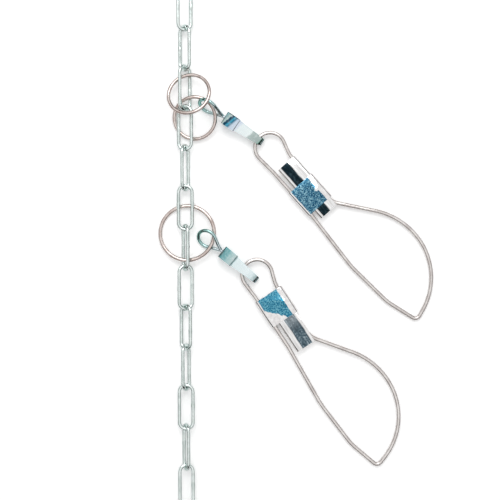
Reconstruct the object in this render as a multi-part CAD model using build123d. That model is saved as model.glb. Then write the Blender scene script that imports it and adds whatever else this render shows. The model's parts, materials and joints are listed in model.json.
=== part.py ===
"""Fish stringer: a long-link chain laid straight on a table, with two snaps hung on it by rings and swivels.

X is to the right, Y runs along the chain towards its top link, and Z points up from the table.
The origin is on the table, under the middle of the whole stringer.
"""

import os
from math import acos, asin, atan2, cos, degrees, radians, sin, tan

from build123d import *

# Chain: long links of round wire, each turned about the chain's line as a chain lies on a table
CHAIN_LINKS = 13
CHAIN_WIRE = 2.0
CHAIN_INNER_LENGTH = 22.0
CHAIN_OUTER_WIDTH = 9.5
CHAIN_PLAY = 0.1
LINK_ROLLS = [-22, 44, -46, 18, -66, 0, 68, -22, 46, -66, 0, 68, -18]
STEEPEST_ROLL = 68

# Rings: round wire bent to a circle, with a fine butt gap
UPPER_RING_OUTER = 25.0
UPPER_RING_WIRE = 2.0
LOWER_RING_OUTER = 32.0
LOWER_RING_WIRE = 2.1
RING_BUTT_GAP = 0.15

# Where each ring's centre lies: its link's number, and the steps from that link's centre
LOWER_RING_LINK = 7
LOWER_RING_RIGHT = 0.85
LOWER_RING_UP = 7.93
LOWER_RING_LEAN = 6.2
LOWER_RING_UPHILL = -38
LOWER_RING_BUTT_ANGLE = -60
CARRIER_RING_LINK = 3
CARRIER_RING_RIGHT = 5.35
CARRIER_RING_DOWN = 16.4
CARRIER_RING_LEAN = 11.5
CARRIER_RING_UPHILL = 40
CARRIER_RING_BUTT_ANGLE = -70
LEANING_RING_RIGHT = 2.4
LEANING_RING_DOWN = 3.8
LEANING_RING_LEAN = 22.8
LEANING_RING_UPHILL = -60
LEANING_RING_RISE = 4.25
LEANING_RING_BUTT_ANGLE = 60

# Swivel eye: a pear-shaped wire loop with a straight shank and a formed head
EYE_WIRE = 1.9
EYE_LENGTH = 17.0
EYE_BEND_RADIUS = 5.2
EYE_NECK_LENGTH = 1.2
EYE_SHANK_PLAY = 0.05
EYE_HEAD_DIAMETER = 3.6
EYE_HEAD_THICKNESS = 1.2
EYE_HEAD_PLAY = 0.1

# Swivel strap: one strip folded back on itself round the snap's head loop, boxed round the eye's head
STRAP_THICKNESS = 0.8
STRAP_LENGTH = 25.0
STRAP_GAP = 3.6
STRAP_TIP_WIDTH = 3.8
STRAP_ROOT_WIDTH = 6.2
BOX_LENGTH = 8.3
BOX_WIDTH = 7.0
BOX_HEIGHT = 5.8
BOX_END_THICKNESS = 1.0
BOX_CORNER_RADIUS = 0.9

# Snap: one wire, in its own flat frame with x from the head loop to the tip and y towards the gate leg
SNAP_WIRE = 2.2
HEAD_LOOP_RADIUS = 8.3
HEAD_LOOP_CENTRE = 5.3
HEAD_LOOP_SIDE = 2.1
HEAD_LOOP_ROOT_RUN = 2.2
BACK_WIRE_SIDE = 5.6
GATE_WIRE_SIDE = 7.5
CLASP_START = 17.5
ROLLED_LENGTH = 15.5
CLASP_LENGTH = 35.5
GATE_END_GAP = 2.0
SNAP_TIP_SIDE = 0.9
SNAP_TIP_RADIUS = 2.6
TIP_LEG_ANGLE = 71.4
TIP_LEG_JOINT_RUN = 0.6
BACK_STRAIGHT_END = 48.0
BACK_BOW_START = 84.0
BACK_BOW_SIDE = 8.1
BACK_BOW_END_SIDE = 6.3
TIP_BACK_LEG_RUN = 18.6
# Left straight between the tip's bend and the belly's: it puts the belly 30 mm out from the middle
TIP_LEG_STRAIGHT_RUN = 2.991367
BACK_BEND_RADIUS = 45.0
BACK_TIP_BEND_RADIUS = 30.0
BELLY_END_RADIUS = 36.6
BELLY_FLAT_RUN = 0.15
BELLY_START_RADIUS = 39.3
GATE_RISE_INSET = 3.0
GATE_RISE_ANGLE = 36.6
GATE_RISE_RADIUS = 12.0
GATE_BALL_PLAY = 0.05

# Clasp plate and lock sleeve: bent sheet, rolled round the gate's side wire and folded round both wires
SHEET_THICKNESS = 0.6
SHEET_PLAY = 0.05
PLATE_LEFT_SIDE = 2.9
PLATE_BEND_RADIUS = 1.3
PLATE_EDGE_DEPTH = 2.2
GUTTER_LIP = 0.9
SLEEVE_LENGTH = 16.5
SLEEVE_TRAVEL = 13.3
SLEEVE_START_PLAY = 0.2
SLEEVE_SEAM = 1.0
SLEEVE_CORNER_RADIUS = 1.2
DIMPLE_SIDE = 4.4
DIMPLE_RADIUS = 2.2
DIMPLE_HEIGHT = 0.6

# How each swivel and snap lies, seen from above: azimuths, and rolls about the swivel's own line
UPPER_EYE_ON_RING = 21
UPPER_SWIVEL_AZIMUTH = -33.5
UPPER_EYE_ROLL = 63
UPPER_STRAP_ROLL = 9
UPPER_EYE_SLACK = 7.0
UPPER_STRAP_SLACK = 3.2
UPPER_STRAP_LIFT = 0.05
UPPER_LOOP_TURN = -1.1
UPPER_SNAP_AZIMUTH = -48.4
UPPER_SNAP_HEIGHT = 3.2
LOWER_EYE_ON_RING = -22
LOWER_SWIVEL_AZIMUTH = -40.1
LOWER_EYE_ROLL = 39
LOWER_STRAP_ROLL = 0
LOWER_EYE_SLACK = 7.2
LOWER_STRAP_SLACK = 10.0
LOWER_STRAP_LIFT = 0.15
LOWER_LOOP_TURN = 17.2
LOWER_SNAP_AZIMUTH = -56.7
LOWER_SNAP_HEIGHT = 2.95

OVERRUN = 1.0

# Worked-out sizes
LINK_PITCH = CHAIN_INNER_LENGTH - CHAIN_PLAY
LINK_BEND_RADIUS = (CHAIN_OUTER_WIDTH - CHAIN_WIRE) / 2
CHAIN_HEIGHT = CHAIN_WIRE / 2 + LINK_BEND_RADIUS * sin(radians(STEEPEST_ROLL))
MIDDLE_LINK = (CHAIN_LINKS + 1) / 2
ROLL_INNER = SNAP_WIRE / 2 + SHEET_PLAY
ROLL_OUTER = ROLL_INNER + SHEET_THICKNESS
EYE_LOOP_CENTRE = EYE_LENGTH - EYE_WIRE / 2 - EYE_BEND_RADIUS
GATE_RISE_START = CLASP_START + CLASP_LENGTH - GATE_RISE_INSET
TIP_BACK_ANGLE = degrees(atan2(BACK_BOW_END_SIDE - SNAP_TIP_SIDE, TIP_BACK_LEG_RUN))
TIP_REACH = SNAP_TIP_RADIUS * tan(radians((180 - TIP_LEG_ANGLE - TIP_BACK_ANGLE) / 2))
BELLY_END_REACH = BELLY_END_RADIUS * tan(radians(TIP_LEG_ANGLE / 2))
TIP_LEG_LENGTH = TIP_REACH + TIP_LEG_JOINT_RUN + TIP_LEG_STRAIGHT_RUN + BELLY_END_REACH
BELLY_SIDE = TIP_LEG_LENGTH * sin(radians(TIP_LEG_ANGLE)) - SNAP_TIP_SIDE
BELLY_START = GATE_RISE_START + (BELLY_SIDE - GATE_WIRE_SIDE) / tan(radians(GATE_RISE_ANGLE))
BELLY_START_REACH = BELLY_START_RADIUS * tan(radians(GATE_RISE_ANGLE / 2))
BELLY_END = BELLY_START + BELLY_START_REACH + BELLY_FLAT_RUN + BELLY_END_REACH
SNAP_TIP = BELLY_END + (BELLY_SIDE + SNAP_TIP_SIDE) / tan(radians(TIP_LEG_ANGLE))
BACK_BOW_END = SNAP_TIP - TIP_BACK_LEG_RUN


def link_centre(number):
    """Centre of a link, counted from the chain's top."""
    return Vector(0, (MIDDLE_LINK - number) * LINK_PITCH, CHAIN_HEIGHT)


def wire_along(path, diameter):
    """Round wire whose centre follows a path of straight runs and tangent arcs."""
    start = Plane(origin=path @ 0, z_dir=path % 0)
    return sweep(start * Circle(diameter / 2), path=path)


def chain_link(roll):
    """A long link in its own frame, its length along Y, then turned about its length."""
    half_run = CHAIN_INNER_LENGTH / 2 + CHAIN_WIRE / 2 - LINK_BEND_RADIUS
    leg = Cylinder(CHAIN_WIRE / 2, 2 * half_run, rotation=(90, 0, 0))
    bend = Torus(LINK_BEND_RADIUS, CHAIN_WIRE / 2)
    reach = CHAIN_OUTER_WIDTH + OVERRUN
    upper_half = Box(reach, reach, reach, align=(Align.CENTER, Align.MIN, Align.CENTER))
    lower_half = Box(reach, reach, reach, align=(Align.CENTER, Align.MAX, Align.CENTER))
    link = Pos(-LINK_BEND_RADIUS, 0, 0) * leg + Pos(LINK_BEND_RADIUS, 0, 0) * leg
    link += Pos(0, half_run, 0) * (bend & upper_half)
    link += Pos(0, -half_run, 0) * (bend & lower_half)
    return Rot(0, -roll, 0) * link


def ring(outer, wire, butt_angle):
    """A wire ring flat on the XY plane, with its butt gap at an angle."""
    middle = (outer - wire) / 2
    gap = Box(wire + OVERRUN, RING_BUTT_GAP, wire + OVERRUN)
    return Torus(middle, wire / 2) - Rot(0, 0, butt_angle) * Pos(middle, 0, 0) * gap


def lean(angle, uphill):
    """Tips a flat ring so that its side towards the uphill azimuth rises."""
    return Rot(0, 0, uphill) * Rot(0, -angle, 0) * Rot(0, 0, -uphill)


def ring_point(outer, wire, place, azimuth):
    """A point on a leaning ring's wire that is at an azimuth in the ring's own plane."""
    middle = (outer - wire) / 2
    spot = place * Pos(middle * cos(radians(azimuth)), middle * sin(radians(azimuth)), 0)
    return spot.position


def eye_tangent_angle():
    return asin(EYE_BEND_RADIUS / (EYE_LOOP_CENTRE - EYE_NECK_LENGTH))


def swivel_eye():
    """Pear loop along +X from the box's outer face, in the XY plane, with its shank and head along -X."""
    slope = eye_tangent_angle()
    run = (EYE_LOOP_CENTRE - EYE_NECK_LENGTH) * cos(slope)
    touch_x = EYE_NECK_LENGTH + run * cos(slope)
    touch_y = run * sin(slope)
    loop_end = EYE_LOOP_CENTRE + EYE_BEND_RADIUS
    neck = (EYE_NECK_LENGTH, 0)
    upper_path = Wire([
        Edge.make_line(neck, (touch_x, touch_y)),
        Edge.make_three_point_arc(
            (touch_x, touch_y), (EYE_LOOP_CENTRE, EYE_BEND_RADIUS), (loop_end, 0)
        ),
    ])
    half_loop = wire_along(upper_path, EYE_WIRE)
    inside = BOX_END_THICKNESS + EYE_HEAD_PLAY
    shank_length = EYE_NECK_LENGTH + inside
    shank = Pos(-inside, 0, 0) * Rot(0, 90, 0) * Cylinder(
        EYE_WIRE / 2, shank_length, align=(Align.CENTER, Align.CENTER, Align.MIN)
    )
    head = Pos(-inside, 0, 0) * Rot(0, 90, 0) * Cylinder(
        EYE_HEAD_DIAMETER / 2, EYE_HEAD_THICKNESS, align=(Align.CENTER, Align.CENTER, Align.MAX)
    )
    neck_ball = Pos(EYE_NECK_LENGTH, 0, 0) * Sphere(EYE_WIRE / 2)
    return half_loop + mirror(half_loop, about=Plane.XZ) + shank + head + neck_ball


def strap_slot(length, height):
    """Side outline of a folded strip: one round end at x = 0 and a square end at x = length."""
    outline = Pos(height / 2, 0) * Circle(height / 2)
    outline += Pos(height / 2, 0) * Rectangle(
        length - height / 2, height, align=(Align.MIN, Align.CENTER)
    )
    return outline


def swivel_strap():
    """Folded strap from its bent tip at x = 0 to the box's outer face at x = STRAP_LENGTH."""
    tongue_length = STRAP_LENGTH - BOX_LENGTH
    upright = Plane.XZ.offset(-BOX_WIDTH)
    depth = 2 * BOX_WIDTH
    outer_height = STRAP_GAP + 2 * STRAP_THICKNESS
    tongue_side = strap_slot(tongue_length + STRAP_THICKNESS, outer_height)
    tongue_side -= Pos(STRAP_THICKNESS, 0) * strap_slot(tongue_length + OVERRUN, STRAP_GAP)
    tongue = extrude(upright * tongue_side, depth)
    plan = Polygon(
        (0, -STRAP_TIP_WIDTH / 2),
        (tongue_length, -STRAP_ROOT_WIDTH / 2),
        (tongue_length + STRAP_THICKNESS, -STRAP_ROOT_WIDTH / 2),
        (tongue_length + STRAP_THICKNESS, STRAP_ROOT_WIDTH / 2),
        (tongue_length, STRAP_ROOT_WIDTH / 2),
        (0, STRAP_TIP_WIDTH / 2),
        align=None,
    )
    tongue &= extrude(plan, outer_height, both=True)
    box_middle = Pos(STRAP_LENGTH - BOX_LENGTH / 2, 0, 0)
    box = box_middle * Box(BOX_LENGTH, BOX_WIDTH, BOX_HEIGHT)
    box = fillet(box.edges().filter_by(Axis.Y), BOX_CORNER_RADIUS)
    inner_length = BOX_LENGTH - BOX_END_THICKNESS - STRAP_THICKNESS
    room = Pos(tongue_length + STRAP_THICKNESS + inner_length / 2, 0, 0) * Box(
        inner_length, BOX_WIDTH + OVERRUN, BOX_HEIGHT - 2 * STRAP_THICKNESS
    )
    mouth = Pos(tongue_length, 0, 0) * Box(
        2 * (STRAP_THICKNESS + OVERRUN), BOX_WIDTH + OVERRUN, STRAP_GAP
    )
    hole = Pos(STRAP_LENGTH, 0, 0) * Rot(0, 90, 0) * Cylinder(
        EYE_WIRE / 2 + EYE_SHANK_PLAY, 2 * (BOX_END_THICKNESS + OVERRUN)
    )
    return tongue + (box - room - mouth) - hole


def head_loop_touch(root, hand):
    """Where a straight wire from a point near the clasp touches the head loop, on one hand or the other."""
    centre = Vector(HEAD_LOOP_CENTRE, HEAD_LOOP_SIDE)
    reach = root - centre
    angle = atan2(reach.Y, reach.X) + hand * acos(HEAD_LOOP_RADIUS / reach.length)
    return centre + Vector(cos(angle), sin(angle)) * HEAD_LOOP_RADIUS


def tip_leg_start():
    """The tip's corner, and the point just past its bend where the leg to the belly begins."""
    tip = Vector(SNAP_TIP, -SNAP_TIP_SIDE)
    leaving = (Vector(BELLY_END, BELLY_SIDE) - tip).normalized()
    return tip, tip + leaving * (TIP_REACH + TIP_LEG_JOINT_RUN)


def snap_frame_path():
    """Wire centre from the rolled end, round the head loop, along the back and round the tip."""
    rolled_end = Vector(CLASP_START + ROLLED_LENGTH, GATE_WIRE_SIDE)
    gate_root = Vector(CLASP_START - HEAD_LOOP_ROOT_RUN, GATE_WIRE_SIDE)
    back_root = Vector(CLASP_START - HEAD_LOOP_ROOT_RUN, -BACK_WIRE_SIDE)
    gate_touch = head_loop_touch(gate_root, 1)
    back_touch = head_loop_touch(back_root, -1)
    top = Vector(HEAD_LOOP_CENTRE - HEAD_LOOP_RADIUS, HEAD_LOOP_SIDE)
    tip, tip_leave = tip_leg_start()
    first = FilletPolyline(rolled_end, gate_root, gate_touch, radius=2 * HEAD_LOOP_RADIUS)
    loop = ThreePointArc(gate_touch, top, back_touch)
    back = FilletPolyline(
        back_touch,
        back_root,
        (BACK_STRAIGHT_END, -BACK_WIRE_SIDE),
        (BACK_BOW_START, -BACK_BOW_SIDE),
        (BACK_BOW_END, -BACK_BOW_END_SIDE),
        tip,
        tip_leave,
        radius=[
            2 * HEAD_LOOP_RADIUS,
            BACK_BEND_RADIUS,
            BACK_BEND_RADIUS,
            BACK_TIP_BEND_RADIUS,
            SNAP_TIP_RADIUS,
        ],
    )
    return first, loop, back


def gate_path():
    """Wire centre from the pointed tip, round the belly, to the end that lies in the gutter."""
    _, tip_leave = tip_leg_start()
    return FilletPolyline(
        tip_leave,
        (BELLY_END, BELLY_SIDE),
        (BELLY_START, BELLY_SIDE),
        (GATE_RISE_START, GATE_WIRE_SIDE),
        (CLASP_START + ROLLED_LENGTH + GATE_END_GAP, GATE_WIRE_SIDE),
        radius=[BELLY_END_RADIUS, BELLY_START_RADIUS, GATE_RISE_RADIUS],
    )


def snap_frame_wire():
    """The snap's wire from the rolled end to just past the tip."""
    first, loop, back = snap_frame_path()
    wire = wire_along(Wire(first.edges()), SNAP_WIRE)
    wire += wire_along(Wire(loop.edges()), SNAP_WIRE)
    wire += wire_along(Wire(back.edges()), SNAP_WIRE)
    return wire


def snap_gate_wire():
    """The snap's wire from just past the tip to the gate's free end."""
    path = gate_path()
    return wire_along(Wire(path.edges()), SNAP_WIRE)


def split_snap():
    """The same wire as two pieces that meet in a ball and cup, where the open gate leg flexes."""
    path = gate_path()
    pivot = Plane(origin=path @ 0, z_dir=path % 0)
    ball = pivot * Sphere(SNAP_WIRE / 2)
    cup = pivot * Sphere(SNAP_WIRE / 2 + GATE_BALL_PLAY)
    return snap_frame_wire() - cup, snap_gate_wire() + ball


def roll_section():
    """Sheet rolled round the gate's side wire: a ring section, open towards the middle below the sheet."""
    section = Circle(ROLL_OUTER) - Circle(ROLL_INNER)
    opening = Rectangle(ROLL_OUTER + OVERRUN, ROLL_OUTER + ROLL_INNER, align=(Align.MAX, Align.MAX))
    return section - Pos(0, ROLL_INNER) * opening


def sheet_section(right_side):
    """Flat sheet whose left edge is turned down beside the back wire."""
    bend_side = PLATE_BEND_RADIUS - PLATE_LEFT_SIDE
    bend_height = ROLL_OUTER - PLATE_BEND_RADIUS
    bend = Circle(PLATE_BEND_RADIUS) - Circle(PLATE_BEND_RADIUS - SHEET_THICKNESS)
    bend &= Rectangle(PLATE_BEND_RADIUS, PLATE_BEND_RADIUS, align=(Align.MAX, Align.MIN))
    flat = Pos(bend_side, ROLL_OUTER) * Rectangle(
        right_side - bend_side, SHEET_THICKNESS, align=(Align.MIN, Align.MAX)
    )
    edge = Pos(-PLATE_LEFT_SIDE, bend_height) * Rectangle(
        SHEET_THICKNESS, PLATE_EDGE_DEPTH - PLATE_BEND_RADIUS, align=(Align.MIN, Align.MAX)
    )
    return flat + Pos(bend_side, bend_height) * bend + edge


def across(shape, start, length):
    """Extrudes a section drawn in side and height along the snap's length."""
    section_plane = Plane(origin=(start, 0, 0), x_dir=(0, 1, 0), z_dir=(1, 0, 0))
    return extrude(section_plane * shape, length)


def clasp_plate():
    """Bent sheet: rolled round the gate's side wire at its head end, an open gutter for the gate beyond."""
    sheet_middle = ROLL_INNER + SHEET_THICKNESS / 2
    head_section = sheet_section(GATE_WIRE_SIDE) + Pos(GATE_WIRE_SIDE, 0) * roll_section()
    gutter_length = CLASP_LENGTH - ROLLED_LENGTH
    lip_end = GATE_WIRE_SIDE + GUTTER_LIP
    gutter_wall = GATE_WIRE_SIDE - ROLL_INNER - SHEET_THICKNESS / 2
    tail_section = sheet_section(lip_end)
    tail_section += Pos(gutter_wall, 0) * Rectangle(SHEET_THICKNESS, 2 * ROLL_OUTER)
    lip_width = lip_end - gutter_wall + SHEET_THICKNESS / 2
    tail_section += Pos(lip_end - lip_width / 2, -sheet_middle) * Rectangle(
        lip_width, SHEET_THICKNESS
    )
    tail_start = CLASP_START + ROLLED_LENGTH
    return across(head_section, CLASP_START, ROLLED_LENGTH) + across(
        tail_section, tail_start, gutter_length
    )


def lock_sleeve(slid):
    """Flattened sheet tube round the clasp, slid along it from the head end."""
    inner_back = BACK_WIRE_SIDE + SNAP_WIRE / 2 + 2 * SHEET_PLAY
    inner_gate = GATE_WIRE_SIDE + ROLL_OUTER + SHEET_PLAY
    inner_width = inner_back + inner_gate
    inner_height = 2 * (ROLL_OUTER + SHEET_PLAY)
    middle = (inner_gate - inner_back) / 2
    inner = RectangleRounded(inner_width, inner_height, SLEEVE_CORNER_RADIUS)
    outer = RectangleRounded(
        inner_width + 2 * SHEET_THICKNESS,
        inner_height + 2 * SHEET_THICKNESS,
        SLEEVE_CORNER_RADIUS + SHEET_THICKNESS,
    )
    seam = Pos(0, -inner_height / 2) * Rectangle(SLEEVE_SEAM, 2 * (SHEET_THICKNESS + SHEET_PLAY))
    start = CLASP_START + SLEEVE_START_PLAY + slid
    sleeve = across(Pos(middle, 0) * (outer - inner - seam), start, SLEEVE_LENGTH)
    ball_radius = (DIMPLE_RADIUS ** 2 + DIMPLE_HEIGHT ** 2) / (2 * DIMPLE_HEIGHT)
    top = inner_height / 2 + SHEET_THICKNESS
    ball = Pos(start + SLEEVE_LENGTH / 2, middle + DIMPLE_SIDE, top + DIMPLE_HEIGHT - ball_radius) * Sphere(
        ball_radius
    )
    above = Pos(start + SLEEVE_LENGTH / 2, middle + DIMPLE_SIDE, top - SHEET_THICKNESS / 2) * Box(
        2 * DIMPLE_RADIUS + OVERRUN,
        2 * DIMPLE_RADIUS + OVERRUN,
        DIMPLE_HEIGHT + OVERRUN,
        align=(Align.CENTER, Align.CENTER, Align.MIN),
    )
    return sleeve + (ball & above)


def head_loop_crossing(turn):
    """Point of the head loop's wire at an angle about the loop's centre, from straight away from the tip."""
    side = radians(180 + turn)
    return Vector(
        HEAD_LOOP_CENTRE + HEAD_LOOP_RADIUS * cos(side), HEAD_LOOP_SIDE + HEAD_LOOP_RADIUS * sin(side), 0
    )


def flat_direction(azimuth):
    return Vector(cos(radians(azimuth)), sin(radians(azimuth)), 0)


def direction(place, local):
    """A direction in a placed frame, turned into the stringer's frame."""
    return (place * Pos(*local)).position - place.position


def swivel_places(pierce, azimuth, held_height, eye_slack, strap_slack):
    """Places of a swivel's box face and of the snap wire that its strap holds, from the ring's wire."""
    length = eye_slack + STRAP_LENGTH - strap_slack
    drop = pierce.Z - held_height
    level = (length ** 2 - drop ** 2) ** 0.5
    along = (flat_direction(azimuth) * level - Vector(0, 0, drop)) / length
    return pierce + along * eye_slack, pierce + along * length, along


def along_swivel(origin, along, roll):
    """Frame with X back along the swivel towards its eye and Y across it, rolled about its own line."""
    across_level = Vector(0, 0, 1).cross(along).normalized()
    up = along.cross(across_level)
    y_dir = across_level * cos(radians(roll)) + up * sin(radians(roll))
    back = along * -1
    return Plane(origin=origin, x_dir=back, z_dir=back.cross(y_dir)).location


def hang(prefix, nodes, joints, pierce, tangent, lies):
    """Builds one swivel and its snap from the point where its eye goes round a ring's wire."""
    held_height = lies["snap_height"] + lies["strap_lift"]
    face, held, along = swivel_places(
        pierce, lies["azimuth"], held_height, lies["eye_slack"], lies["strap_slack"]
    )
    nodes[prefix + "_swivel_eye"] = along_swivel(face, along, lies["eye_roll"]) * swivel_eye()
    tip_of_strap = face + along * STRAP_LENGTH
    strap_place = along_swivel(tip_of_strap, along, lies["strap_roll"])
    nodes[prefix + "_swivel_strap"] = strap_place * swivel_strap()
    crossing = head_loop_crossing(lies["azimuth"] - lies["snap_azimuth"] + lies["loop_turn"])
    wire_place = Vector(held.X, held.Y, lies["snap_height"])
    pitch = degrees(asin((lies["snap_height"] - SNAP_WIRE / 2) / (SNAP_TIP - crossing.X)))
    snap_place = Pos(wire_place) * Rot(0, 0, lies["snap_azimuth"]) * Rot(0, pitch, 0) * Pos(-crossing)
    slid = SLEEVE_TRAVEL if lies["locked"] else 0
    if lies["locked"]:
        nodes[prefix + "_snap_wire"] = snap_place * (snap_frame_wire() + snap_gate_wire())
    else:
        frame_wire, gate_wire = split_snap()
        nodes[prefix + "_snap_wire"] = snap_place * frame_wire
        nodes[prefix + "_snap_gate"] = snap_place * gate_wire
        pivot = (snap_place * Pos(*(gate_path() @ 0))).position
        joints[prefix + "_gate"] = pivot, direction(snap_place, (0, 0, 1))
    nodes[prefix + "_clasp_plate"] = snap_place * clasp_plate()
    nodes[prefix + "_lock_sleeve"] = snap_place * lock_sleeve(slid)
    joints[prefix + "_eye"] = pierce, tangent
    joints[prefix + "_swivel"] = face, along
    joints[prefix + "_snap"] = wire_place, flat_direction(lies["azimuth"] + lies["loop_turn"] + 90)
    joints[prefix + "_sleeve"] = wire_place, direction(snap_place, (1, 0, 0))
    return snap_place


def link_side(roll):
    """Direction across a link, from its left leg to its right leg."""
    return Vector(cos(radians(roll)), 0, sin(radians(roll)))


def chain_joint(number):
    """Pin between a link and the next: the end wire of whichever of the two lies flatter."""
    here, there = LINK_ROLLS[number - 1], LINK_ROLLS[number]
    end = CHAIN_INNER_LENGTH / 2 + CHAIN_WIRE / 2
    if abs(here) <= abs(there):
        return link_centre(number) - Vector(0, end, 0), link_side(here)
    return link_centre(number + 1) + Vector(0, end, 0), link_side(there)


def ring_place(link, right, up, rise, angle, uphill):
    centre = link_centre(link)
    return Pos(centre.X + right, centre.Y + up, rise) * lean(angle, uphill)


def lowest_rise(outer, wire, angle):
    """Height of a leaning ring's centre that leaves its lowest wire on the table."""
    return wire / 2 + (outer - wire) / 2 * sin(radians(angle))


def build():
    """All nodes by name, and each joint's point and axis, before the stringer is centred on its origin."""
    nodes = {}
    joints = {}
    for number, roll in enumerate(LINK_ROLLS, start=1):
        nodes[f"chain_link_{number:02d}"] = Pos(link_centre(number)) * chain_link(roll)
        if number < CHAIN_LINKS:
            joints[f"chain_{number:02d}_{number + 1:02d}"] = chain_joint(number)

    carrier = ring_place(
        CARRIER_RING_LINK,
        CARRIER_RING_RIGHT,
        -CARRIER_RING_DOWN,
        lowest_rise(UPPER_RING_OUTER, UPPER_RING_WIRE, CARRIER_RING_LEAN),
        CARRIER_RING_LEAN,
        CARRIER_RING_UPHILL,
    )
    leaning = ring_place(
        CARRIER_RING_LINK,
        LEANING_RING_RIGHT,
        -LEANING_RING_DOWN,
        CHAIN_HEIGHT + LEANING_RING_RISE,
        LEANING_RING_LEAN,
        LEANING_RING_UPHILL,
    )
    lower = ring_place(
        LOWER_RING_LINK,
        LOWER_RING_RIGHT,
        LOWER_RING_UP,
        lowest_rise(LOWER_RING_OUTER, LOWER_RING_WIRE, LOWER_RING_LEAN),
        LOWER_RING_LEAN,
        LOWER_RING_UPHILL,
    )
    nodes["upper_carrier_ring"] = carrier * ring(UPPER_RING_OUTER, UPPER_RING_WIRE, CARRIER_RING_BUTT_ANGLE)
    nodes["upper_leaning_ring"] = leaning * ring(UPPER_RING_OUTER, UPPER_RING_WIRE, LEANING_RING_BUTT_ANGLE)
    nodes["lower_carrier_ring"] = lower * ring(LOWER_RING_OUTER, LOWER_RING_WIRE, LOWER_RING_BUTT_ANGLE)

    upper_lies = dict(
        azimuth=UPPER_SWIVEL_AZIMUTH,
        eye_roll=UPPER_EYE_ROLL,
        strap_roll=UPPER_STRAP_ROLL,
        eye_slack=UPPER_EYE_SLACK,
        strap_slack=UPPER_STRAP_SLACK,
        strap_lift=UPPER_STRAP_LIFT,
        loop_turn=UPPER_LOOP_TURN,
        snap_azimuth=UPPER_SNAP_AZIMUTH,
        snap_height=UPPER_SNAP_HEIGHT,
        locked=True,
    )
    lower_lies = dict(
        azimuth=LOWER_SWIVEL_AZIMUTH,
        eye_roll=LOWER_EYE_ROLL,
        strap_roll=LOWER_STRAP_ROLL,
        eye_slack=LOWER_EYE_SLACK,
        strap_slack=LOWER_STRAP_SLACK,
        strap_lift=LOWER_STRAP_LIFT,
        loop_turn=LOWER_LOOP_TURN,
        snap_azimuth=LOWER_SNAP_AZIMUTH,
        snap_height=LOWER_SNAP_HEIGHT,
        locked=False,
    )
    hung = {
        "upper": (carrier, UPPER_RING_OUTER, UPPER_RING_WIRE, UPPER_EYE_ON_RING, upper_lies),
        "lower": (lower, LOWER_RING_OUTER, LOWER_RING_WIRE, LOWER_EYE_ON_RING, lower_lies),
    }
    places = {"carrier": carrier, "leaning": leaning, "lower": lower}
    for prefix, (place, outer, wire, azimuth, lies) in hung.items():
        pierce = ring_point(outer, wire, place, azimuth)
        ahead = ring_point(outer, wire, place, azimuth + 90) - place.position
        places[prefix + "_snap"] = hang(prefix, nodes, joints, pierce, ahead.normalized(), lies)
    return nodes, joints, places


def centred(nodes):
    """Moves every node so that the origin is on the table under the middle of the whole."""
    box = Compound(children=[Part(node.wrapped) for node in nodes.values()]).bounding_box()
    shift = Pos(-(box.min.X + box.max.X) / 2, -(box.min.Y + box.max.Y) / 2, -box.min.Z)
    return {name: shift * node for name, node in nodes.items()}, shift


def main():
    os.makedirs("parts", exist_ok=True)
    nodes, _, _ = build()
    placed, _ = centred(nodes)
    for name, node in placed.items():
        export_step(node, f"parts/{name}.step")


main()
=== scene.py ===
import json
import math

import bmesh
import bpy
from mathutils import Matrix, Vector


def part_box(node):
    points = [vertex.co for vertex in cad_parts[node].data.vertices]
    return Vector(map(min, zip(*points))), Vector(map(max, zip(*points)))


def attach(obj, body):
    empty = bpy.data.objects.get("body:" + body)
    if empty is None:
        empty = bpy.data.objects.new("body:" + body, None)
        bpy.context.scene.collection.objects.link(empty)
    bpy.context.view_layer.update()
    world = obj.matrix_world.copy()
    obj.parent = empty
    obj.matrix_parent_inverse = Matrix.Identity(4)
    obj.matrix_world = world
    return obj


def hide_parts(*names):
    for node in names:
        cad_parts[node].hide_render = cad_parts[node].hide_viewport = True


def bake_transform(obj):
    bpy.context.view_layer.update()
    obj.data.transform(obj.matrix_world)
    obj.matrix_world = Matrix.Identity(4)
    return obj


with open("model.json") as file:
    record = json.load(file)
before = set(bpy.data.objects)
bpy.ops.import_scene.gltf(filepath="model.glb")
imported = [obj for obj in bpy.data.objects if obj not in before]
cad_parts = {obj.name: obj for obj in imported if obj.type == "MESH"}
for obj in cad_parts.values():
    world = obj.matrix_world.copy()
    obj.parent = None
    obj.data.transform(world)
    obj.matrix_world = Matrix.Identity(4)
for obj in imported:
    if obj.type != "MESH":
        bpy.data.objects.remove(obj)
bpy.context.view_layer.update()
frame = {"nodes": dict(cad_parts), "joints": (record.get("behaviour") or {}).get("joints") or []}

MM = 0.001

# Sizes of the real pieces, in millimetres and degrees: the values that the CAD solids were built from
CHAIN_WIRE = 2.0
CHAIN_INNER_LENGTH = 22.0
CHAIN_OUTER_WIDTH = 9.5
LINK_ROLLS = [-22, 44, -46, 18, -66, 0, 68, -22, 46, -66, 0, 68, -18]
RINGS = {
    # node: outer diameter, wire, lean, uphill azimuth, azimuth of its butt gap
    "upper_carrier_ring": (25.0, 2.0, 11.5, 40, -70),
    "upper_leaning_ring": (25.0, 2.0, 22.8, -60, 60),
    "lower_carrier_ring": (32.0, 2.1, 6.2, -38, -60),
}
RING_BUTT_GAP = 0.15
EYE_WIRE = 1.9
EYE_LENGTH = 17.0
EYE_BEND_RADIUS = 5.2
EYE_NECK_LENGTH = 1.2
EYE_NECK_RADIUS = 0.9
EYE_HEAD_DIAMETER = 3.6
EYE_HEAD_THICKNESS = 1.2
EYE_HEAD_PLAY = 0.1
BOX_END_THICKNESS = 1.0
EYE_ROLLS = {"upper": 63, "lower": 39}
STRAP_ROLLS = {"upper": 9, "lower": 0}
STRAP_LENGTH = 25.0
SNAP_WIRE = 2.2
HEAD_LOOP_RADIUS = 8.3
HEAD_LOOP_CENTRE = 5.3
HEAD_LOOP_SIDE = 2.1
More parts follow.
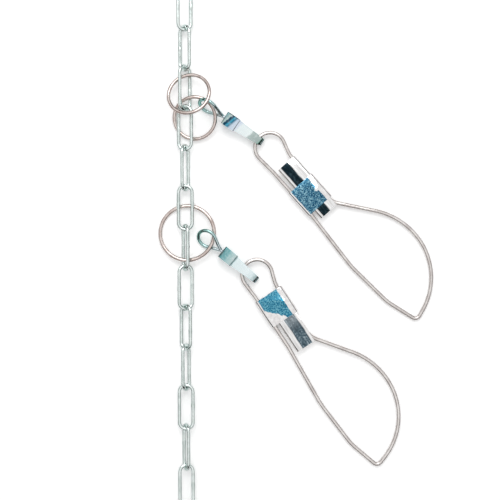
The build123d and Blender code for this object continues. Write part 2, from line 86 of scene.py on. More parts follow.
HEAD_LOOP_ROOT = 15.3
# where the strap holds the head loop: an angle about the loop's centre, from straight away from the tip
HELD_ANGLE = {"upper": 13.8, "lower": 33.8}
BACK_WIRE_SIDE = 5.6
BACK_STRAIGHT_END = 48.0
BACK_BOW_START = 84.0
BACK_BOW_SIDE = 8.1
BACK_BOW_END = 111.54
BACK_BOW_END_SIDE = 6.3
BACK_BEND_RADIUS = 45.0
BACK_TIP_BEND_RADIUS = 30.0
SNAP_TIP = 130.14
SNAP_TIP_SIDE = 0.9
SNAP_TIP_RADIUS = 2.6
BELLY_SIDE = 30.0
BELLY_END = 119.74
BELLY_END_RADIUS = 36.6
BELLY_START = 80.3
BELLY_START_RADIUS = 39.3
GATE_RISE_START = 50.0
GATE_RISE_RADIUS = 12.0
GATE_WIRE_SIDE = 7.5
GATE_END_GAP = 2.0
CLASP_START = 17.5
ROLLED_LENGTH = 15.5
# the dimple's crown on each sleeve, in its snap's frame
DIMPLE_CROWN = {"upper": (39.25, 5.65, 3.0), "lower": (25.95, 5.65, 3.0)}

# How the meshes are made, in millimetres and degrees
# every wire is drawn this much thinner than its solid, so that pieces that touch at a limit don't cut in
WIRE_PLAY = 0.05
BEND_STEP = 0.6
LEAST_BEND_STEPS = 4
RING_STEPS = 160
# a link's path ends this far short of where it starts, and closes over the step
LINK_CLOSING_STEP = 0.1
FINE_SIDES = 24
# the eye's head is out of sight in its box
HIDDEN_SIDES = 20
WIRE_MERGE = 0.002
SHEET_MERGE = 0.003
FLAT_ANGLE = 1.0
CUT_EDGE_ANGLE = 40
SMOOTH_ANGLE = 32
# each link's butt weld swells its wire by a share over a short length, a step past the middle of one leg;
# on every third link it lies before the middle
WELD_SWELLING_SHARE = 0.13
WELD_LENGTH = 1.1
WELD_STEP = 0.6
THIRD_WELD_STEP = -1.8
# the end of the eye's loop, from the neck's end
EYE_END_STEP = (0.5, -0.35)

# The picture: its width in pixels, pixels to a millimetre and the height over the table where that scale holds
PICTURE_PIXELS = 500
PICTURE_SCALE = 1.817
SCALE_HEIGHT = 3
# how far its middle lies from the middle link, in millimetres, and its turn in degrees
MIDDLE_RIGHT = 35.4
MIDDLE_DOWN = 1.54
PICTURE_TURN = -0.26

# Settings that many nodes share
TIMES = {"operation": "MULTIPLY"}
TIMES_PLUS = {"operation": "MULTIPLY_ADD"}
EASED = {"interpolation_type": "SMOOTHSTEP"}


def linear(hex_code):
    """An sRGB hex colour as the linear values that Blender's sockets take."""
    parts = [int(hex_code[i:i + 2], 16) / 255 for i in (1, 3, 5)]
    return tuple(c / 12.92 if c <= 0.04045 else ((c + 0.055) / 1.055) ** 2.4 for c in parts) + (1.0,)


def add(tree, kind, settings=None, **inputs):
    """Adds a node. Its settings are properties, or a colour ramp's stops, each a place and a hex colour. Its
    inputs go by name, or by number as at0 and on, and each takes a value, an output or a node's first output."""
    node = tree.nodes.new(kind)
    for name, value in (settings or {}).items():
        if name == "stops":
            for place, _ in value[1:-1]:
                node.color_ramp.elements.new(place)
            for element, (place, code) in zip(node.color_ramp.elements, value):
                element.position, element.color = place, linear(code)
        else:
            setattr(node, name, value)
    for name, value in inputs.items():
        socket = node.inputs[int(name[2:]) if name.startswith("at") else name.replace("_", " ")]
        if isinstance(value, bpy.types.Node):
            value = value.outputs[0]
        if isinstance(value, bpy.types.NodeSocket):
            tree.links.new(value, socket)
        else:
            socket.default_value = value
    return node


# ---- where the swivels and snaps lie

def snap_frame(prefix):
    """The snap's own frame at rest: x from its head loop to its tip, y towards its gate leg, z up."""
    joints = {j["name"]: j for j in frame["joints"]}
    along = Vector(joints[f"{prefix}_sleeve_slide"]["axis"]).normalized()
    side = Vector((-along.y, along.x, 0)).normalized()
    up = along.cross(side)
    held = Vector(joints[f"{prefix}_head_loop_hinge"]["pos_m"])
    turn = math.radians(180 + HELD_ANGLE[prefix])
    crossing_x = HEAD_LOOP_CENTRE + HEAD_LOOP_RADIUS * math.cos(turn)
    crossing_y = HEAD_LOOP_SIDE + HEAD_LOOP_RADIUS * math.sin(turn)
    origin = held - (along * crossing_x + side * crossing_y) * MM
    basis = Matrix((along, side, up)).transposed().to_4x4()
    return Matrix.Translation(origin) @ basis


def swivel_frame(prefix, roll):
    """A swivel's frame at rest: x from the box's face back towards the ring, y across the eye's loop."""
    joint = next(j for j in frame["joints"] if j["name"] == f"{prefix}_swivel_turn")
    along = Vector(joint["axis"]).normalized()
    level = Vector((0, 0, 1)).cross(along).normalized()
    up = along.cross(level)
    across = level * math.cos(math.radians(roll)) + up * math.sin(math.radians(roll))
    back = -along
    basis = Matrix((back, across, back.cross(across))).transposed().to_4x4()
    return Matrix.Translation(Vector(joint["pos_m"])) @ basis


snap_frames = {prefix: snap_frame(prefix) for prefix in ("upper", "lower")}


# ---- finishes

def finish(name):
    """An empty node material; returns it with its tree."""
    material = bpy.data.materials.new(name)
    material.use_nodes = True
    material.node_tree.nodes.clear()
    return material, material.node_tree


def local_place(tree, place):
    """Where a spot lies in a piece's own frame, in mm. Returns three nodes: its place there split into X, Y and Z,
    Blender's plain coordinates, and its place there whole."""
    inverse = place.inverted()
    where = add(tree, "ShaderNodeTexCoord")
    turned = add(
        tree, "ShaderNodeMapping", Vector=where.outputs["Object"], Scale=(1000, 1000, 1000),
        Rotation=inverse.to_euler(), Location=inverse.to_translation() * 1000,
    )
    return add(tree, "ShaderNodeSeparateXYZ", Vector=turned), where, turned


def plated_wire(name, light, dark, edge, roughness, rough_spread, pit_height):
    """Plated drawn wire: a bright metal whose plating clouds over 4 mm, with pits 0.5 mm apart."""
    material, tree = finish(name)
    where = add(tree, "ShaderNodeTexCoord").outputs["Object"]
    cloud = add(tree, "ShaderNodeTexNoise", Vector=where, Scale=1 / (4.0 * MM), Detail=3.0)
    fine = add(tree, "ShaderNodeTexNoise", Vector=where, Scale=1 / (0.5 * MM), Detail=4.0)
    tone = add(tree, "ShaderNodeValToRGB", {"stops": ((0.35, dark), (0.62, light))}, Fac=cloud)
    rough = add(tree, "ShaderNodeMapRange", EASED, Value=fine, From_Min=0.3, From_Max=0.7,
                To_Min=roughness, To_Max=roughness + rough_spread)
    bump = add(tree, "ShaderNodeBump", Height=fine, Strength=0.25, Distance=pit_height * MM)
    shader = add(tree, "ShaderNodeBsdfPrincipled", Base_Color=tone, Metallic=1.0, Roughness=rough, Normal=bump,
                 Specular_Tint=linear(edge))
    add(tree, "ShaderNodeOutputMaterial", Surface=shader)
    return material


# Electro-galvanised chain wire: bright zinc with a faint cold green from its clear passivation
galvanised_chain = plated_wire("galvanised_chain_wire", light="#EAF2F0", dark="#D3DEDB", edge="#5F7A75",
                               roughness=0.15, rough_spread=0.08, pit_height=0.012)
# Nickel-plated spring wire: smooth and bright, with the warm grey that nickel has beside zinc
nickel_wire = plated_wire("nickel_plated_spring_wire", light="#E7E2DF", dark="#D2CBC8", edge="#544C4A",
                          roughness=0.10, rough_spread=0.05, pit_height=0.006)
# Nickel-plated rings of the same warm metal, a little browner where the plating is thin
nickel_ring = plated_wire("nickel_plated_ring_wire", light="#E3D7D2", dark="#C5B5AF", edge="#51433F",
                          roughness=0.12, rough_spread=0.05, pit_height=0.006)


def passivated_swivel(name, place, start, end, skew, stops):
    """Zinc-plated swivel part coloured in bands along the swivel's line, wavy over 1.3 mm: the passivation's tint,
    and on a strap also bands of painted shade and painted reflection.
    """
    material, tree = finish(name)
    spot, where, _ = local_place(tree, place)
    cloud = add(tree, "ShaderNodeTexNoise", Vector=where.outputs["Object"], Scale=1 / (1.3 * MM), Detail=3.0)
    skewed = add(tree, "ShaderNodeMath", TIMES_PLUS, at0=spot.outputs["Y"], at1=skew, at2=spot.outputs["X"])
    wavy = add(tree, "ShaderNodeMath", TIMES_PLUS, at0=cloud, at1=1.0, at2=skewed)
    along = add(tree, "ShaderNodeMapRange", Value=wavy, From_Min=start + 0.5, From_Max=end + 0.5)
    tint_and_painted_shade = add(tree, "ShaderNodeValToRGB", {"stops": stops}, Fac=along)
    pale = add(tree, "ShaderNodeMapRange", EASED, Value=cloud, From_Min=0.4, From_Max=0.75, To_Max=0.25)
    tone = add(tree, "ShaderNodeMix", {"data_type": "RGBA"}, Factor=pale, at6=tint_and_painted_shade, at7=linear("#F4FBFB"))
    bump = add(tree, "ShaderNodeBump", Height=cloud, Strength=0.2, Distance=0.03 * MM)
    shader = add(tree, "ShaderNodeBsdfPrincipled", Base_Color=tone.outputs[2], Metallic=1.0, Roughness=0.2,
                 Normal=bump, Specular_Tint=linear("#6F8F92"))
    add(tree, "ShaderNodeOutputMaterial", Surface=shader)
    return material


def spangled_sleeve(prefix, white_reflection_from, white_reflection_to, dimple_glint, shades):
    """Blue-passivated zinc sheet: spangled blue on its flat top face, partly a painted dark reflection there, and
    bare bright metal round the sides and in painted highlights.
    """
    material, tree = finish(f"{prefix}_blue_passivated_sleeve_painted_light")
    spot, where, turned = local_place(tree, snap_frames[prefix])
    wander = add(tree, "ShaderNodeTexNoise", Vector=where.outputs["Object"], Scale=1 / (2.5 * MM), Detail=3.0)
    # the blue ends a little inside the flat face's two sides
    side = add(tree, "ShaderNodeMath", TIMES_PLUS, at0=wander, at1=0.7, at2=spot.outputs["Y"])
    left = add(tree, "ShaderNodeMapRange", EASED, Value=side, From_Min=-5.5, From_Max=-5.2)
    right = add(tree, "ShaderNodeMapRange", EASED, Value=side, From_Min=6.6, From_Max=6.9, To_Min=1.0, To_Max=0.0)
    # the blue lies only on faces turned up, where it is partly a painted dark reflection
    faces = add(tree, "ShaderNodeSeparateXYZ", Vector=where.outputs["Normal"])
    top = add(tree, "ShaderNodeMapRange", EASED, Value=faces.outputs["Z"], From_Min=0.8, From_Max=0.9)
    # painted reflection: a white corner of bare bright metal where the blue is left off, on the lower sleeve only
    blotch = add(tree, "ShaderNodeMath", TIMES_PLUS, at0=wander, at1=5.0, at2=spot.outputs["X"])
    slant = add(tree, "ShaderNodeMath", TIMES_PLUS, at0=spot.outputs["Y"], at1=-1.1, at2=blotch)
    outside_painted_white_reflection = add(tree, "ShaderNodeMapRange", EASED, Value=slant, From_Min=white_reflection_from, From_Max=white_reflection_to,
                 To_Min=1.0, To_Max=0.0)
    # painted highlight: bare bright metal on the dimple's crown, on the upper sleeve only
    crown = add(tree, "ShaderNodeVectorMath", {"operation": "DISTANCE"}, at0=turned, at1=DIMPLE_CROWN[prefix])
    outside_dimple_glint = add(tree, "ShaderNodeMapRange", EASED, Value=crown.outputs["Value"], From_Min=dimple_glint,
                   From_Max=dimple_glint + 0.5)
    blue_and_painted_reflection = left
    for limit in (right, top, outside_painted_white_reflection, outside_dimple_glint):
        blue_and_painted_reflection = add(tree, "ShaderNodeMath", TIMES, at0=blue_and_painted_reflection, at1=limit)
    # spangle: crystals about 0.8 mm across with pale rims, speckled finer than that
    crystals = add(tree, "ShaderNodeTexVoronoi", Vector=where.outputs["Object"], Scale=1 / (0.8 * MM))
    speckle = add(tree, "ShaderNodeTexNoise", Vector=where.outputs["Object"], Scale=1 / (0.5 * MM), Detail=5.0)
    shade = add(tree, "ShaderNodeMath", TIMES_PLUS, at0=crystals, at1=0.3, at2=speckle)
    blue = add(tree, "ShaderNodeValToRGB", {"stops": shades}, Fac=shade)
    metal = add(tree, "ShaderNodeValToRGB", {"stops": ((0.3, "#DEDADA"), (0.7, "#F7F6F5"))}, Fac=wander)
    tone = add(tree, "ShaderNodeMix", {"data_type": "RGBA"}, Factor=blue_and_painted_reflection, at6=metal, at7=blue)
    rough = add(tree, "ShaderNodeMapRange", EASED, Value=blue_and_painted_reflection, To_Min=0.12, To_Max=0.22)
    bump = add(tree, "ShaderNodeBump", Height=speckle, Strength=0.2, Distance=0.02 * MM)
    shader = add(tree, "ShaderNodeBsdfPrincipled", Base_Color=tone.outputs[2], Metallic=1.0, Roughness=rough,
                 Normal=bump, Specular_Tint=linear("#7A6F6B"))
    add(tree, "ShaderNodeOutputMaterial", Surface=shader)
    return material


def polished_plate(prefix, dark_from, dark_to, depth_at_middle, shades):
    """Polished nickel-plated sheet with a painted dark reflection in slate on its top face over part of its width,
    and bright elsewhere.
    """
    material, tree = finish(f"{prefix}_polished_nickel_plate_painted_reflection")
    spot, where, turned = local_place(tree, snap_frames[prefix])
    faces = add(tree, "ShaderNodeSeparateXYZ", Vector=where.outputs["Normal"])
    top = add(tree, "ShaderNodeMapRange", EASED, Value=faces.outputs["Z"], From_Min=0.9, From_Max=0.97)
    # polishing streaks: about 7 mm long and 1.25 mm wide, in a frame that is already in mm
    streak = add(tree, "ShaderNodeMapping", Vector=turned, Scale=(1 / 7.14, 1 / 1.25, 1 / 1.25))
    cloud = add(tree, "ShaderNodeTexNoise", Vector=streak, Scale=1.0, Detail=4.0)
    side = add(tree, "ShaderNodeMath", TIMES_PLUS, at0=cloud, at1=1.2, at2=spot.outputs["Y"])
    left = add(tree, "ShaderNodeMapRange", EASED, Value=side, From_Min=dark_from + 0.4, From_Max=dark_from + 0.8)
    right = add(tree, "ShaderNodeMapRange", EASED, Value=side, From_Min=dark_to + 0.3, From_Max=dark_to + 0.9,
                To_Min=1.0, To_Max=0.0)
    # the painted reflection darkens from the clasp's middle to its tail
    depth = add(tree, "ShaderNodeMapRange", EASED, Value=spot.outputs["X"], From_Min=36.0, From_Max=45.0,
                To_Min=depth_at_middle, To_Max=1.0)
    # painted dark reflection: a strip of the top face, streaky at its sides
    painted_reflection_mask = left
    for limit in (right, top, depth):
        painted_reflection_mask = add(tree, "ShaderNodeMath", TIMES, at0=painted_reflection_mask, at1=limit)
    fine = add(tree, "ShaderNodeTexNoise", Vector=where.outputs["Object"], Scale=1 / (1.0 * MM), Detail=4.0)
    half_cloud = add(tree, "ShaderNodeMath", TIMES, at0=cloud, at1=0.5)
    shade = add(tree, "ShaderNodeMath", TIMES_PLUS, at0=fine, at1=0.5, at2=half_cloud)
    slate = add(tree, "ShaderNodeValToRGB", {"stops": shades}, Fac=shade)
    metal = add(tree, "ShaderNodeValToRGB", {"stops": ((0.3, "#DAD8D7"), (0.7, "#F8F8F8"))}, Fac=cloud)
    tone = add(tree, "ShaderNodeMix", {"data_type": "RGBA"}, Factor=painted_reflection_mask, at6=metal, at7=slate)
    shader = add(tree, "ShaderNodeBsdfPrincipled", Base_Color=tone.outputs[2], Metallic=1.0, Roughness=0.12,
                 Specular_Tint=linear("#7A6F6B"))
    add(tree, "ShaderNodeOutputMaterial", Surface=shader)
    return material


# Sleeves: blue passivation over spangled zinc, glittering, darkened by painted reflection on the top face, with a
# white painted reflection at one corner of the lower one and a painted highlight on the upper one's dimple
sleeve_finish_and_painted_light = {
    "upper": spangled_sleeve("upper", white_reflection_from=90.0, white_reflection_to=91.0, dimple_glint=0.7, shades=(
        (0.42, "#0B2A42"), (0.54, "#18486A"), (0.66, "#2C6F8E"), (0.8, "#9CC4D0"))),
    "lower": spangled_sleeve("lower", white_reflection_from=32.4, white_reflection_to=33.0, dimple_glint=-1.0, shades=(
        (0.42, "#12496A"), (0.54, "#20688A"), (0.66, "#3488A5"), (0.8, "#86BFCC"))),
}
# Clasp plates: mirror-bright nickel with a strip of painted dark reflection on the top face, nearly black on the
# upper one
plate_finish_and_painted_reflection = {
    "upper": polished_plate("upper", dark_from=-1.2, dark_to=3.8, depth_at_middle=1.0, shades=(
        (0.3, "#0A1418"), (0.52, "#1A2A32"), (0.75, "#4C626B"))),
    "lower": polished_plate("lower", dark_from=0.6, dark_to=6.9, depth_at_middle=0.85, shades=(
        (0.32, "#1A2933"), (0.5, "#50646F"), (0.68, "#A9B7BE"))),
}
# Straps: clear-passivated zinc, bluish white on the flat tongue and teal where the sheet is folded, with bands of
# painted shade and painted reflection
strap_finish_and_painted_shade = {
    "upper": passivated_swivel(
        "upper_passivated_strap_painted_shade", swivel_frame("upper", STRAP_ROLLS["upper"]), -STRAP_LENGTH, 0.0, skew=0.3, stops=(
            # painted reflection: dark at the tongue's tip and grey near it; painted shade: dark navy bands at the
            # step from box to tongue
            (0.0, "#1F3A38"), (0.03, "#2F4F4C"), (0.06, "#8FB8AB"), (0.1, "#A9B8B5"), (0.31, "#B4C3C0"),
            (0.35, "#EFF9F8"), (0.6, "#EAF4F6"), (0.66, "#D5E0EE"), (0.76, "#C6D6E6"), (0.8, "#2B6F8C"),
            (0.84, "#35A3C2"), (0.88, "#0F3048"), (0.91, "#14506B"), (0.93, "#B9CCC8"), (1.0, "#7FA3A6"))),
    "lower": passivated_swivel(
        "lower_passivated_strap_painted_shade", swivel_frame("lower", STRAP_ROLLS["lower"]), -STRAP_LENGTH, 0.0, skew=0.0, stops=(
            # painted shade: a dark line at the step from box to tongue
            (0.0, "#788D8F"), (0.04, "#9DB1B3"), (0.1, "#B5C8CA"), (0.17, "#DCEBED"), (0.3, "#EAF5F7"),
            (0.64, "#E2F0F2"), (0.67, "#7FA3A6"), (0.7, "#BFD3D3"), (0.82, "#A3C6C7"), (0.86, "#7FB3B7"),
            (0.95, "#6DA5A9"), (0.98, "#3E6E70"), (1.0, "#345E60"))),
}
# Eyes: the same zinc, from a pale lavender neck to teal green at the loop's far end
eye_finish = {
    prefix: passivated_swivel(
        f"{prefix}_passivated_eye", swivel_frame(prefix, EYE_ROLLS[prefix]), 0.0, EYE_LENGTH, skew=0.0,
        stops=((0.0, "#D9E3E9"), (0.35, "#C6DADC"), (0.7, "#A2C8C6"), (1.0, "#7FB0A6")))
    for prefix in ("upper", "lower")
}


# ---- wire forming

def bent(corners):
    """Points along a wire that runs from corner to corner, each an (x, y, bend radius) in millimetres."""
    points = [Vector(corners[0][:2])]
    for before, here, after in zip(corners, corners[1:], corners[2:]):
        corner = Vector(here[:2])
        arriving = (corner - Vector(before[:2])).normalized()
        leaving = (Vector(after[:2]) - corner).normalized()
        turn = arriving.angle_signed(leaving)
        radius = here[2]
        reach = radius * math.tan(abs(turn) / 2)
        left = -1 if turn > 0 else 1
        centre = corner - arriving * reach + Vector((-arriving.y, arriving.x)) * radius * left
        spoke = corner - arriving * reach - centre
        steps = max(LEAST_BEND_STEPS, math.ceil(radius * abs(turn) / BEND_STEP))
        for k in range(steps + 1):
            angle = -turn * k / steps
            c, s = math.cos(angle), math.sin(angle)
            points.append(centre + Vector((spoke.x * c - spoke.y * s, spoke.x * s + spoke.y * c)))
    points.append(Vector(corners[-1][:2]))
    return points


def wire_tree():
    """Geometry Nodes: draws round wire along a path, thicker over a short stretch where it is welded."""
    tree = bpy.data.node_groups.new("drawn_wire", "GeometryNodeTree")
    tree.interface.new_socket("Path", in_out="INPUT", socket_type="NodeSocketGeometry")
    for label in ("Wire", "Step", "Weld Place", "Weld Length", "Weld Swelling"):
        tree.interface.new_socket(label, in_out="INPUT", socket_type="NodeSocketFloat")
    tree.interface.new_socket("Sides", in_out="INPUT", socket_type="NodeSocketInt")
    tree.interface.new_socket("Finish", in_out="INPUT", socket_type="NodeSocketMaterial")
    tree.interface.new_socket("Wire Form", in_out="OUTPUT", socket_type="NodeSocketGeometry")
    given = add(tree, "NodeGroupInput").outputs
    half = add(tree, "ShaderNodeMath", TIMES, at0=given["Wire"], at1=0.5)
    section = add(tree, "GeometryNodeCurvePrimitiveCircle", Resolution=given["Sides"], Radius=half)
    even = add(tree, "GeometryNodeResampleCurve", {"mode": "LENGTH"}, Curve=given["Path"], Length=given["Step"])
    run = add(tree, "GeometryNodeSplineParameter").outputs["Length"]
    # the weld's swelling falls off as a bell curve
    away = add(tree, "ShaderNodeMath", {"operation": "SUBTRACT"}, at0=run, at1=given["Weld Place"])
    away = add(tree, "ShaderNodeMath", {"operation": "DIVIDE"}, at0=away, at1=given["Weld Length"])
    square = add(tree, "ShaderNodeMath", TIMES, at0=away, at1=away)
    fall = add(tree, "ShaderNodeMath", TIMES, at0=square, at1=-1.0)
    bell = add(tree, "ShaderNodeMath", {"operation": "EXPONENT"}, at0=fall)
    swell = add(tree, "ShaderNodeMath", TIMES_PLUS, at0=bell, at1=given["Weld Swelling"], at2=1.0)
    drawn = add(tree, "GeometryNodeCurveToMesh", Curve=even, Profile_Curve=section, Scale=swell, Fill_Caps=True)
    real = add(tree, "GeometryNodeRealizeInstances", Geometry=drawn)
    coat = add(tree, "GeometryNodeSetMaterial", Geometry=real, Material=given["Finish"])
    add(tree, "NodeGroupOutput", Wire_Form=coat)
    return tree


drawn_wire = wire_tree()


def drawn(points, wire, material, closed=False, weld=(0.0, 1.0, 0.0), sides=FINE_SIDES, step=0.4):
    """A mesh of round wire along points given in millimetres, made by the drawn_wire tree. A weld is given by
    its place along the wire, its length and the share by which it swells."""
    curve = bpy.data.curves.new("path", "CURVE")
    curve.dimensions = "3D"
    spline = curve.splines.new("POLY")
    spline.points.add(len(points) - 1)
    for point, place in zip(spline.points, points):
        point.co = (place[0] * MM, place[1] * MM, 0, 1)
    spline.use_cyclic_u = closed
    holder = bpy.data.objects.new("path", curve)
    bpy.context.scene.collection.objects.link(holder)
    modifier = holder.modifiers.new("drawn_wire", "NODES")
    modifier.node_group = drawn_wire
    weld_place, weld_length, swelling = weld
    values = {"Wire": (wire - WIRE_PLAY) * MM, "Step": step * MM, "Weld Place": weld_place * MM,
              "Weld Length": weld_length * MM, "Weld Swelling": swelling, "Sides": sides, "Finish": material}
    for item in drawn_wire.interface.items_tree:
        if item.name in values and item.in_out == "INPUT":
            modifier[item.identifier] = values[item.name]
    shaped = holder.evaluated_get(bpy.context.evaluated_depsgraph_get())
    mesh = bpy.data.meshes.new_from_object(shaped)
    bpy.data.objects.remove(holder)
    # the tube is smooth and its two cut ends are flat
    for face in mesh.polygons:
        face.use_smooth = len(face.vertices) == 4
    return mesh


def piece(name, meshes, place, body, node):
    """Joins meshes into one piece in place of a CAD node. It rides on a body, unless it flexes between two."""
    form = bmesh.new()
    for mesh in meshes:
        form.from_mesh(mesh)
    bmesh.ops.remove_doubles(form, verts=form.verts, dist=WIRE_MERGE * MM)
    bmesh.ops.recalc_face_normals(form, faces=form.faces)
    form.transform(place)
    mesh = bpy.data.meshes.new(name)
    form.to_mesh(mesh)
    form.free()
    for material in meshes[0].materials:
        mesh.materials.append(material)
    made = bpy.data.objects.new(name, mesh)
    bpy.context.scene.collection.objects.link(made)
    if body:
        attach(made, body)
    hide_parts(node)
    return made


# ---- chain

half_width = (CHAIN_OUTER_WIDTH - CHAIN_WIRE) / 2
half_length = (CHAIN_INNER_LENGTH + CHAIN_WIRE) / 2
link_corners = [
    (half_width, 0, 0),
    (half_width, half_length, half_width),
    (-half_width, half_length, half_width),
    (-half_width, -half_length, half_width),
    (half_width, -half_length, half_width),
    (half_width, -LINK_CLOSING_STEP, 0),
]
# how far along the wire the middle of the other leg lies, where the link is welded
leg_run = half_length * 2 - half_width * 2
other_leg = leg_run / 2 + math.pi * half_width + leg_run / 2
for number, roll in enumerate(LINK_ROLLS, start=1):
    node = f"chain_link_{number:02d}"
    low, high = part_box(node)
    weld_place = other_leg + (WELD_STEP if number % 3 else THIRD_WELD_STEP)
    mesh = drawn(bent(link_corners), CHAIN_WIRE, galvanised_chain, closed=True,
                 weld=(weld_place, WELD_LENGTH, WELD_SWELLING_SHARE))
    turn = Matrix.Rotation(math.radians(-roll), 4, "Y")
    if number % 2:
        turn = turn @ Matrix.Rotation(math.pi, 4, "Z")
    piece(f"link_{number:02d}", [mesh], Matrix.Translation((low + high) / 2) @ turn, node, node)

# ---- rings

for node, (outer, wire, lean, uphill, butt) in RINGS.items():
    radius = (outer - wire) / 2
    gap = math.degrees(RING_BUTT_GAP / radius) / 2
    angles = [math.radians(butt + gap + (360 - 2 * gap) * k / RING_STEPS) for k in range(RING_STEPS + 1)]
    points = [(radius * math.cos(a), radius * math.sin(a)) for a in angles]
    low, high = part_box(node)
    up = math.radians(uphill)
    tip = (
        Matrix.Rotation(up, 4, "Z")
        @ Matrix.Rotation(math.radians(-lean), 4, "Y")
        @ Matrix.Rotation(-up, 4, "Z")
    )
    mesh = drawn(points, wire, nickel_ring)
    piece(node.replace("ring", "wire_ring"), [mesh], Matrix.Translation((low + high) / 2) @ tip, node,
          node)

# ---- swivel eyes

slope = math.asin(EYE_BEND_RADIUS / (EYE_LENGTH - EYE_WIRE / 2 - EYE_BEND_RADIUS - EYE_NECK_LENGTH))
loop_end = EYE_LENGTH - EYE_WIRE / 2
far_corner = (loop_end - EYE_NECK_LENGTH) * math.tan(slope)
inside = BOX_END_THICKNESS + EYE_HEAD_PLAY
eye_corners = [
    (-inside, 0, 0),
    (EYE_NECK_LENGTH, 0, EYE_NECK_RADIUS),
    (loop_end, far_corner, EYE_BEND_RADIUS),
    (loop_end, -far_corner, EYE_BEND_RADIUS),
    (EYE_NECK_LENGTH + EYE_END_STEP[0], EYE_END_STEP[1], 0),
]
for prefix in ("upper", "lower"):
    loop = drawn(bent(eye_corners), EYE_WIRE, eye_finish[prefix], step=0.3)
    head = drawn([(-inside, 0), (-inside - EYE_HEAD_THICKNESS, 0)], EYE_HEAD_DIAMETER, eye_finish[prefix],
                 sides=HIDDEN_SIDES)
    node = f"{prefix}_swivel_eye"
    piece(f"{prefix}_swivel_pear_eye", [loop, head], swivel_frame(prefix, EYE_ROLLS[prefix]), node,
          node)


# ---- snap wires

def head_corner(side, hand):
    """Corner of the head loop between its straight run from one side of the clasp and its far end."""
    reach, rise = HEAD_LOOP_ROOT - HEAD_LOOP_CENTRE, side - HEAD_LOOP_SIDE
    touch = math.atan2(rise, reach) + hand * math.acos(HEAD_LOOP_RADIUS / math.hypot(reach, rise))
    half = (hand * math.pi - touch) / 2
    out = HEAD_LOOP_RADIUS / math.cos(half)
    return (HEAD_LOOP_CENTRE + out * math.cos(touch + half), HEAD_LOOP_SIDE + out * math.sin(touch + half),
            HEAD_LOOP_RADIUS)


rolled_end = CLASP_START + ROLLED_LENGTH
under_plate = CLASP_START + ROLLED_LENGTH / 2
# the cut end under the plate's roll, round the head loop, and back under the clasp
head_corners = [
    (rolled_end, GATE_WIRE_SIDE, 0),
    (HEAD_LOOP_ROOT, GATE_WIRE_SIDE, 2 * HEAD_LOOP_RADIUS),
    head_corner(GATE_WIRE_SIDE, 1),
    head_corner(-BACK_WIRE_SIDE, -1),
    (HEAD_LOOP_ROOT, -BACK_WIRE_SIDE, 2 * HEAD_LOOP_RADIUS),
    (under_plate, -BACK_WIRE_SIDE, 0),
]
# along the bowed back, round the tip and the belly, and into the gutter
body_corners = [
    (under_plate, -BACK_WIRE_SIDE, 0),
    (BACK_STRAIGHT_END, -BACK_WIRE_SIDE, BACK_BEND_RADIUS),
    (BACK_BOW_START, -BACK_BOW_SIDE, BACK_BEND_RADIUS),
    (BACK_BOW_END, -BACK_BOW_END_SIDE, BACK_TIP_BEND_RADIUS),
    (SNAP_TIP, -SNAP_TIP_SIDE, SNAP_TIP_RADIUS),
    (BELLY_END, BELLY_SIDE, BELLY_END_RADIUS),
    (BELLY_START, BELLY_SIDE, BELLY_START_RADIUS),
    (GATE_RISE_START, GATE_WIRE_SIDE, GATE_RISE_RADIUS),
    (rolled_end + GATE_END_GAP, GATE_WIRE_SIDE, 0),
]
for prefix in ("upper", "lower"):
    place = snap_frames[prefix]
    head = drawn(bent(head_corners), SNAP_WIRE, nickel_wire, step=0.5)
    body = drawn(bent(body_corners), SNAP_WIRE, nickel_wire, step=0.6)
    if prefix == "upper":
        piece("upper_snap_spring_wire", [head, body], place, "upper_snap", "upper_snap_wire")
    else:
        piece("lower_snap_head_loop", [head], place, "lower_snap", "lower_snap_wire")
        flexing = piece("lower_snap_spring_wire", [body], place, None, "lower_snap_gate")
        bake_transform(flexing)


# ---- bent sheet pieces

def eased_copy(name, node, body, material, edge):
    """A piece of bent sheet from its CAD solid, with its cut edges eased as a tumbled stamping's are."""
    form = bmesh.new()
    form.from_mesh(frame["nodes"][node].data)
    bmesh.ops.remove_doubles(form, verts=form.verts, dist=SHEET_MERGE * MM)
    bmesh.ops.dissolve_limit(form, angle_limit=math.radians(FLAT_ANGLE), verts=form.verts, edges=form.edges)
    mesh = bpy.data.meshes.new(name)
    form.to_mesh(mesh)
    form.free()
    holder = bpy.data.objects.new(name, mesh)
    bpy.context.scene.collection.objects.link(holder)
    bevel = holder.modifiers.new("eased", "BEVEL")
    bevel.width = edge * MM
    bevel.segments = 2
    bevel.limit_method = "ANGLE"
    bevel.angle_limit = math.radians(CUT_EDGE_ANGLE)
    shaped = bpy.data.meshes.new_from_object(holder.evaluated_get(bpy.context.evaluated_depsgraph_get()))
    bpy.data.objects.remove(holder)
    shaped.materials.clear()
    shaped.materials.append(material)
    for face in shaped.polygons:
        face.use_smooth = True
    shaped.set_sharp_from_angle(angle=math.radians(SMOOTH_ANGLE))
    made = bpy.data.objects.new(name, shaped)
    bpy.context.scene.collection.objects.link(made)
    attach(made, body)
    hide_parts(node)


for prefix in ("upper", "lower"):
    eased_copy(f"{prefix}_folded_strap", f"{prefix}_swivel_strap", f"{prefix}_swivel_strap",
               strap_finish_and_painted_shade[prefix], edge=0.16)
    eased_copy(f"{prefix}_rolled_plate", f"{prefix}_clasp_plate", f"{prefix}_snap",
               plate_finish_and_painted_reflection[prefix], edge=0.1)
    eased_copy(f"{prefix}_sliding_sleeve", f"{prefix}_lock_sleeve", f"{prefix}_lock_sleeve",
               sleeve_finish_and_painted_light[prefix], edge=0.12)


# ---- table, light and camera

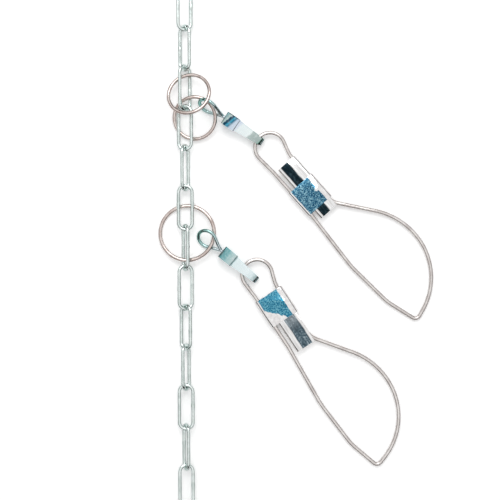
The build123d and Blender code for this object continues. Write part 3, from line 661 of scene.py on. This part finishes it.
def table():
    """A white table top that keeps the stringer's soft shadow."""
    bpy.ops.mesh.primitive_plane_add(size=6.0, location=(0, 0, 0))
    top = bpy.context.object
    top.name = "table_top"
    # Matt white laminate: an even white that takes a soft shadow and has no glint of its own; it is lifted a
    # little towards pure white where the camera or a mirroring wire sees it
    material, tree = finish("white_laminate")
    ray = add(tree, "ShaderNodeLightPath").outputs
    seen = ray["Is Camera Ray"]
    for kind in ("Is Glossy Ray", "Is Transmission Ray"):
        seen = add(tree, "ShaderNodeMath", {"operation": "MAXIMUM"}, at0=seen, at1=ray[kind])
    lift = add(tree, "ShaderNodeMath", TIMES, at0=seen, at1=0.25)
    shader = add(tree, "ShaderNodeBsdfPrincipled", Base_Color=linear("#F7F7F7"), Roughness=0.9,
                 Specular_IOR_Level=0.0, Emission_Color=(1, 1, 1, 1), Emission_Strength=lift)
    add(tree, "ShaderNodeOutputMaterial", Surface=shader)
    top.data.materials.append(material)


def studio():
    """A white tent overhead, dark all round at its foot and highest on the near side, and one soft lamp."""
    world = bpy.data.worlds.new("white_tent")
    bpy.context.scene.world = world
    world.use_nodes = True
    tree = world.node_tree
    tree.nodes.clear()
    where = add(tree, "ShaderNodeTexCoord").outputs["Generated"]
    ray = add(tree, "ShaderNodeSeparateXYZ", Vector=where)
    height = add(tree, "ShaderNodeMath", TIMES_PLUS, at0=ray.outputs["Y"], at1=0.16, at2=ray.outputs["Z"])
    shades = ((0.0, "#141210"), (0.4, "#181614"), (0.47, "#8C8C8C"), (0.54, "#FFFFFF"))
    tent = add(tree, "ShaderNodeValToRGB", {"stops": shades}, Fac=height)
    light = add(tree, "ShaderNodeBackground", Color=tent, Strength=0.95)
    add(tree, "ShaderNodeOutputWorld", Surface=light)
    lamp = bpy.data.lights.new("softbox", "AREA")
    lamp.shape = "RECTANGLE"
    lamp.size = 0.5
    lamp.size_y = 0.35
    lamp.energy = 1.8
    box = bpy.data.objects.new("softbox", lamp)
    box.location = (-0.05, 0.45, 0.6)
    box.rotation_euler = (Vector((0, 0, 0)) - box.location).to_track_quat("-Z", "Y").to_euler()
    bpy.context.scene.collection.objects.link(box)


def overhead_camera():
    """Straight above the picture's middle, turned by the chain's slight lean in the picture."""
    low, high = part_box("chain_link_07")
    chain = (low + high) / 2
    view_width = PICTURE_PIXELS / PICTURE_SCALE * MM
    camera = bpy.data.cameras.new("overhead")
    camera.lens = 85.0
    camera.sensor_width = 36.0
    height = view_width / 2 / (camera.sensor_width / 2 / camera.lens) + SCALE_HEIGHT * MM
    eye = bpy.data.objects.new("overhead", camera)
    eye.location = (chain.x + MIDDLE_RIGHT * MM, chain.y - MIDDLE_DOWN * MM, height)
    eye.rotation_euler = (0, 0, math.radians(PICTURE_TURN))
    bpy.context.scene.collection.objects.link(eye)
    bpy.context.scene.camera = eye
    bpy.context.scene.view_settings.view_transform = "Standard"


table()
studio()
overhead_camera()
